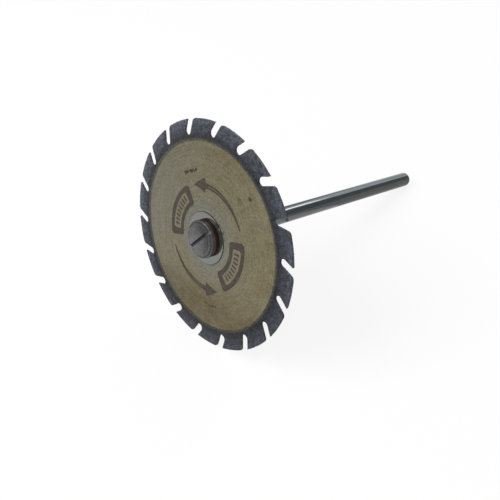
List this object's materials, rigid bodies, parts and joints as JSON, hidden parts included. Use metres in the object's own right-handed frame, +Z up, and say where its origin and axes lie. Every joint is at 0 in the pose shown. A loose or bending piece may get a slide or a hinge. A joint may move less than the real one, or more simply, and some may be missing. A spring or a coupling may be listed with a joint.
{
  "type": "slotted diamond cutting disc on mandrel",
  "caption": "Thin round steel disc with a diamond-coated rim cut by slanted slots, clamped by a slotted screw and washers to a straight-shank mandrel.",
  "frame": {"origin": "the point of the ground under the middle of the tool's box as it lies at rest", "axes": "+X from the disc towards the shank's free end, level with the ground; +Y to the left of that, across the disc; +Z up"},
  "size_m": [0.0482, 0.03, 0.0287],
  "materials": {
    "gilt_steel": "dull gold-toned lacquered steel, with faint turning lines and printed rotation arrows",
    "diamond_grit": "matt dark grey nickel bond full of fine diamond grit",
    "polished_steel": "mirror polish",
    "red_fibre": "dark red vulcanised fibre",
    "turned_steel": "turned steel with fine facing rings",
    "shank_steel": "ground and polished stainless steel"
  },
  "bodies": {
    "root": {"disc_blank": "gilt_steel", "diamond_coat": "diamond_grit", "clamp_washer": "polished_steel", "fibre_washer": "red_fibre", "screw": "turned_steel", "mandrel": "shank_steel"}
  },
  "joints": []
}
